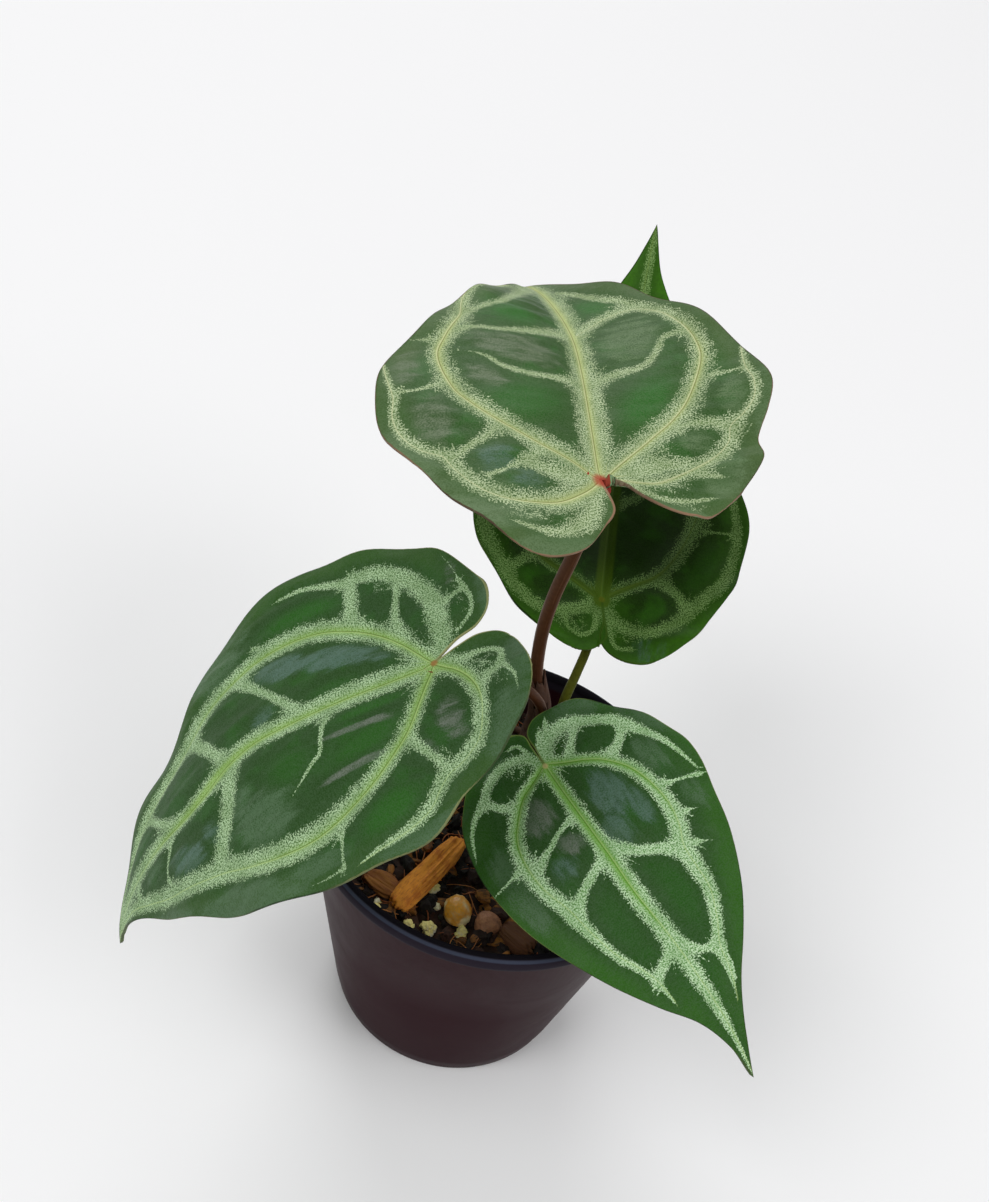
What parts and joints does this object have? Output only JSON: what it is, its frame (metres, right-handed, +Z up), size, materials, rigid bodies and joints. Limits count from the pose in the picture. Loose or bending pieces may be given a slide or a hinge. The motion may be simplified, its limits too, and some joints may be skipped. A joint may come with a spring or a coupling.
{
  "type": "potted anthurium hybrid",
  "caption": "Young anthurium with heart-shaped dark velvet leaves and broad silver veins, in bark mix in a plain dark round nursery pot that stands on its flat base.",
  "frame": {"origin": "middle of the flat underside of the pot, where it rests", "axes": "+Z up; -Y is the side that is looked at, with the smallest leaf leaning towards -Y and +X and the tall leaf over +Y"},
  "size_m": [0.1545, 0.2041, 0.1887],
  "materials": {
    "pot_plastic": "satin",
    "potting_mix": "matte",
    "crown_bark": "matte",
    "stalk_brown": "satin",
    "stalk_olive": "satin",
    "leaf_velvet": "satin",
    "bark": "matte",
    "pebble_ochre": "satin",
    "pebble_brown": "matte",
    "perlite": "matte"
  },
  "bodies": {
    "root": {"pot": "pot_plastic", "potting_mix": "potting_mix", "crown_stem": "crown_bark", "petiole_top": "stalk_brown", "petiole_left": "stalk_brown", "petiole_front": "stalk_brown", "petiole_back": "stalk_olive", "leaf_blade_top": "leaf_velvet", "leaf_blade_back": "leaf_velvet", "leaf_blade_left": "leaf_velvet", "leaf_blade_front": "leaf_velvet", "bark_chip_long": "bark", "bark_chip_left": "bark", "bark_chip_front": "bark", "bark_chip_back": "bark", "bark_chip_right": "bark", "bark_chip_west": "bark", "pebble_ochre": "pebble_ochre", "pebble_brown": "pebble_brown", "pebble_back": "pebble_brown", "perlite_left": "perlite", "perlite_pair_a": "perlite", "perlite_pair_b": "perlite", "perlite_middle": "perlite", "perlite_front": "perlite", "perlite_back": "perlite"}
  },
  "joints": []
}
